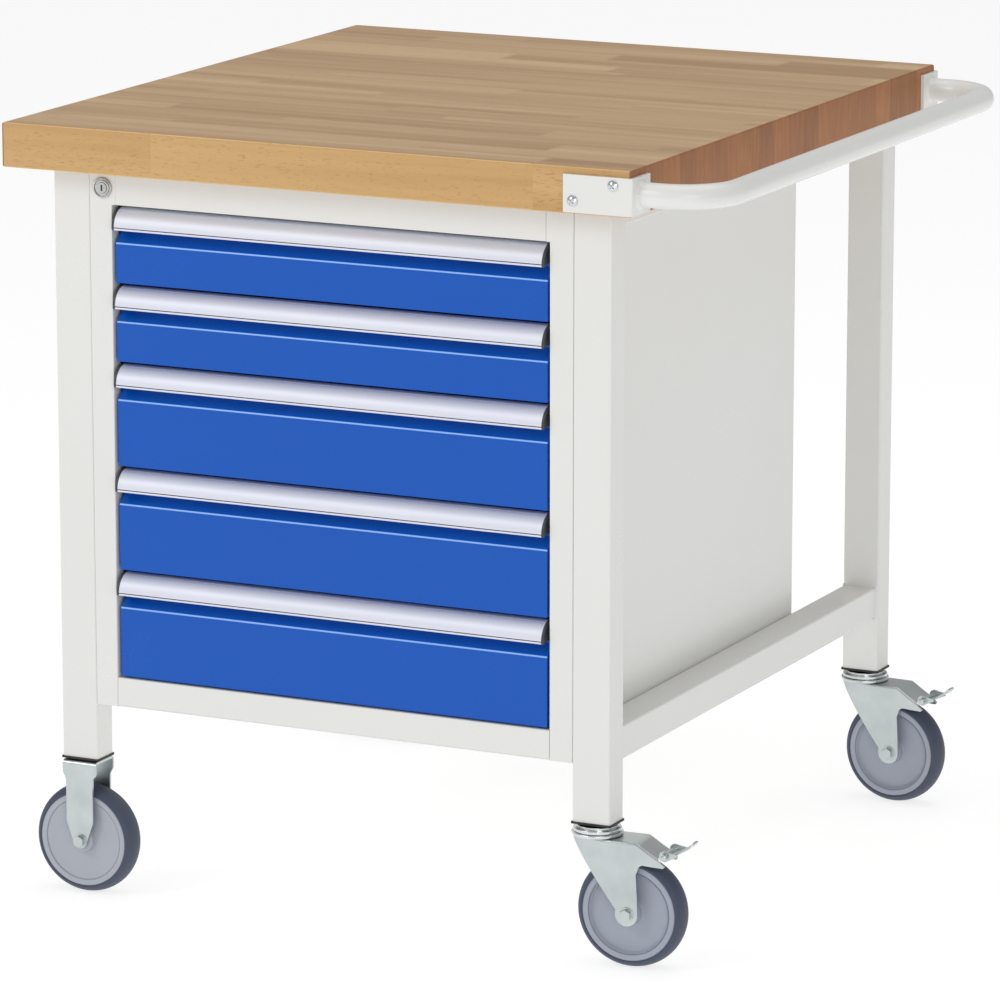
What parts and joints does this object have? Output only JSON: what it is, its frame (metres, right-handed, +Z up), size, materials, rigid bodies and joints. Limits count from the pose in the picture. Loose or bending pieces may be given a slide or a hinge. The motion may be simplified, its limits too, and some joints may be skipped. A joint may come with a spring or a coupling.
{
  "type": "mobile workbench",
  "caption": "Mobile workbench with a wooden top, a steel frame on casters, a lockable drawer cabinet and a tubular push handle.",
  "frame": {"origin": "centre of the whole outline on the floor, under the middle of the bench and its push handle", "axes": "+X to the push-handle end, -Y to the drawer front, +Z up"},
  "size_m": [0.8604, 0.8646, 0.88],
  "materials": {
    "beech": "oiled laminated beech",
    "light_grey_paint": "semi-gloss powder coat",
    "blue_paint": "semi-gloss powder coat",
    "anodised_aluminium": "satin anodised extrusion",
    "zinc_plated_steel": "bright zinc plate",
    "black_plastic": "moulded",
    "wheel_rubber": "non-marking grey tread on a grey plastic centre"
  },
  "bodies": {
    "bench": {"worktop": "beech", "front_left_leg": "light_grey_paint", "front_right_leg": "light_grey_paint", "rear_left_leg": "light_grey_paint", "rear_right_leg": "light_grey_paint", "left_lower_rail": "light_grey_paint", "right_lower_rail": "light_grey_paint", "left_upper_rail": "light_grey_paint", "right_upper_rail": "light_grey_paint", "rear_upper_rail": "light_grey_paint", "cabinet_left_side": "light_grey_paint", "cabinet_right_side": "light_grey_paint", "cabinet_back": "light_grey_paint", "cabinet_floor": "light_grey_paint", "cabinet_top_rail": "light_grey_paint", "cabinet_bottom_rail": "light_grey_paint", "outer_slides": "zinc_plated_steel", "lock_housing": "zinc_plated_steel", "push_handle": "light_grey_paint", "front_handle_bracket": "light_grey_paint", "rear_handle_bracket": "light_grey_paint", "bracket_screws": "zinc_plated_steel", "leg_end_plates": "black_plastic", "front_left_fork": "zinc_plated_steel", "rear_left_fork": "zinc_plated_steel", "fixed_axles": "zinc_plated_steel", "front_right_swivel_head": "zinc_plated_steel", "rear_right_swivel_head": "zinc_plated_steel"},
    "drawer_1": {"drawer_1_tray": "light_grey_paint", "drawer_1_front": "blue_paint", "drawer_1_handle_strip": "anodised_aluminium"},
    "drawer_1_middle_slides": {"drawer_1_middle_slides": "zinc_plated_steel"},
    "drawer_2": {"drawer_2_tray": "light_grey_paint", "drawer_2_front": "blue_paint", "drawer_2_handle_strip": "anodised_aluminium"},
    "drawer_2_middle_slides": {"drawer_2_middle_slides": "zinc_plated_steel"},
    "drawer_3": {"drawer_3_tray": "light_grey_paint", "drawer_3_front": "blue_paint", "drawer_3_handle_strip": "anodised_aluminium"},
    "drawer_3_middle_slides": {"drawer_3_middle_slides": "zinc_plated_steel"},
    "drawer_4": {"drawer_4_tray": "light_grey_paint", "drawer_4_front": "blue_paint", "drawer_4_handle_strip": "anodised_aluminium"},
    "drawer_4_middle_slides": {"drawer_4_middle_slides": "zinc_plated_steel"},
    "drawer_5": {"drawer_5_tray": "light_grey_paint", "drawer_5_front": "blue_paint", "drawer_5_handle_strip": "anodised_aluminium"},
    "drawer_5_middle_slides": {"drawer_5_middle_slides": "zinc_plated_steel"},
    "front_left_wheel": {"front_left_wheel": "wheel_rubber"},
    "front_right_caster": {"front_right_fork": "zinc_plated_steel", "front_right_axle": "zinc_plated_steel"},
    "front_right_wheel": {"front_right_wheel": "wheel_rubber"},
    "front_right_brake_pedal": {"front_right_brake_pedal": "zinc_plated_steel"},
    "rear_left_wheel": {"rear_left_wheel": "wheel_rubber"},
    "rear_right_caster": {"rear_right_fork": "zinc_plated_steel", "rear_right_axle": "zinc_plated_steel"},
    "rear_right_wheel": {"rear_right_wheel": "wheel_rubber"},
    "rear_right_brake_pedal": {"rear_right_brake_pedal": "zinc_plated_steel"},
    "lock_plug": {"lock_plug": "zinc_plated_steel"},
    "locking_bar": {"locking_bar": "zinc_plated_steel"}
  },
  "joints": [
    {"name": "drawer_1_slide", "type": "slide", "parent": "bench", "child": "drawer_1", "axis": [0, -1, 0], "range_m": [0, 0.5]},
    {"name": "drawer_1_middle_slide", "type": "slide", "parent": "bench", "child": "drawer_1_middle_slides", "axis": [0, -1, 0], "range_m": [0, 0.25]},
    {"name": "drawer_2_slide", "type": "slide", "parent": "bench", "child": "drawer_2", "axis": [0, -1, 0], "range_m": [0, 0.5]},
    {"name": "drawer_2_middle_slide", "type": "slide", "parent": "bench", "child": "drawer_2_middle_slides", "axis": [0, -1, 0], "range_m": [0, 0.25]},
    {"name": "drawer_3_slide", "type": "slide", "parent": "bench", "child": "drawer_3", "axis": [0, -1, 0], "range_m": [0, 0.5]},
    {"name": "drawer_3_middle_slide", "type": "slide", "parent": "bench", "child": "drawer_3_middle_slides", "axis": [0, -1, 0], "range_m": [0, 0.25]},
    {"name": "drawer_4_slide", "type": "slide", "parent": "bench", "child": "drawer_4", "axis": [0, -1, 0], "range_m": [0, 0.5]},
    {"name": "drawer_4_middle_slide", "type": "slide", "parent": "bench", "child": "drawer_4_middle_slides", "axis": [0, -1, 0], "range_m": [0, 0.25]},
    {"name": "drawer_5_slide", "type": "slide", "parent": "bench", "child": "drawer_5", "axis": [0, -1, 0], "range_m": [0, 0.5]},
    {"name": "drawer_5_middle_slide", "type": "slide", "parent": "bench", "child": "drawer_5_middle_slides", "axis": [0, -1, 0], "range_m": [0, 0.25]},
    {"name": "front_left_wheel_spin", "type": "hinge", "parent": "bench", "child": "front_left_wheel", "pos_m": [-0.36075, -0.3775, 0.0625], "axis": [0, 1, 0], "continuous": true},
    {"name": "front_right_caster_swivel", "type": "hinge", "parent": "bench", "child": "front_right_caster", "pos_m": [0.27225, -0.3775, 0.14], "axis": [0, 0, 1], "continuous": true},
    {"name": "front_right_wheel_spin", "type": "hinge", "parent": "front_right_caster", "child": "front_right_wheel", "pos_m": [0.31419, -0.3753, 0.0625], "axis": [-0.0523, 0.9986, 0], "continuous": true},
    {"name": "front_right_brake_pedal_press", "type": "hinge", "parent": "front_right_caster", "child": "front_right_brake_pedal", "pos_m": [0.35613, -0.3731, 0.131], "axis": [-0.0523, 0.9986, 0], "range_deg": [0, 20]},
    {"name": "rear_left_wheel_spin", "type": "hinge", "parent": "bench", "child": "rear_left_wheel", "pos_m": [-0.36075, 0.3785, 0.0625], "axis": [0, 1, 0], "continuous": true},
    {"name": "rear_right_caster_swivel", "type": "hinge", "parent": "bench", "child": "rear_right_caster", "pos_m": [0.27225, 0.3785, 0.14], "axis": [0, 0, 1], "continuous": true},
    {"name": "rear_right_wheel_spin", "type": "hinge", "parent": "rear_right_caster", "child": "rear_right_wheel", "pos_m": [0.31415, 0.37557, 0.0625], "axis": [0.0698, 0.9976, 0], "continuous": true},
    {"name": "rear_right_brake_pedal_press", "type": "hinge", "parent": "rear_right_caster", "child": "rear_right_brake_pedal", "pos_m": [0.35605, 0.37264, 0.131], "axis": [0.0698, 0.9976, 0], "range_deg": [0, 20]},
    {"name": "lock_turn", "type": "hinge", "parent": "bench", "child": "lock_plug", "pos_m": [-0.32125, -0.395, 0.8105], "axis": [0, 1, 0], "range_deg": [0, 92]},
    {"name": "locking_bar_lift", "type": "slide", "parent": "bench", "child": "locking_bar", "axis": [0, 0, 1], "range_m": [0, 0.006]}
  ],
  "couplings": [
    {"joint": "drawer_1_middle_slide", "follows": "drawer_1_slide", "ratio": 0.5},
    {"joint": "drawer_2_middle_slide", "follows": "drawer_2_slide", "ratio": 0.5},
    {"joint": "drawer_3_middle_slide", "follows": "drawer_3_slide", "ratio": 0.5},
    {"joint": "drawer_4_middle_slide", "follows": "drawer_4_slide", "ratio": 0.5},
    {"joint": "drawer_5_middle_slide", "follows": "drawer_5_slide", "ratio": 0.5},
    {"joint": "lock_turn", "follows": "locking_bar_lift", "rad_per_m": 261.8}
  ]
}
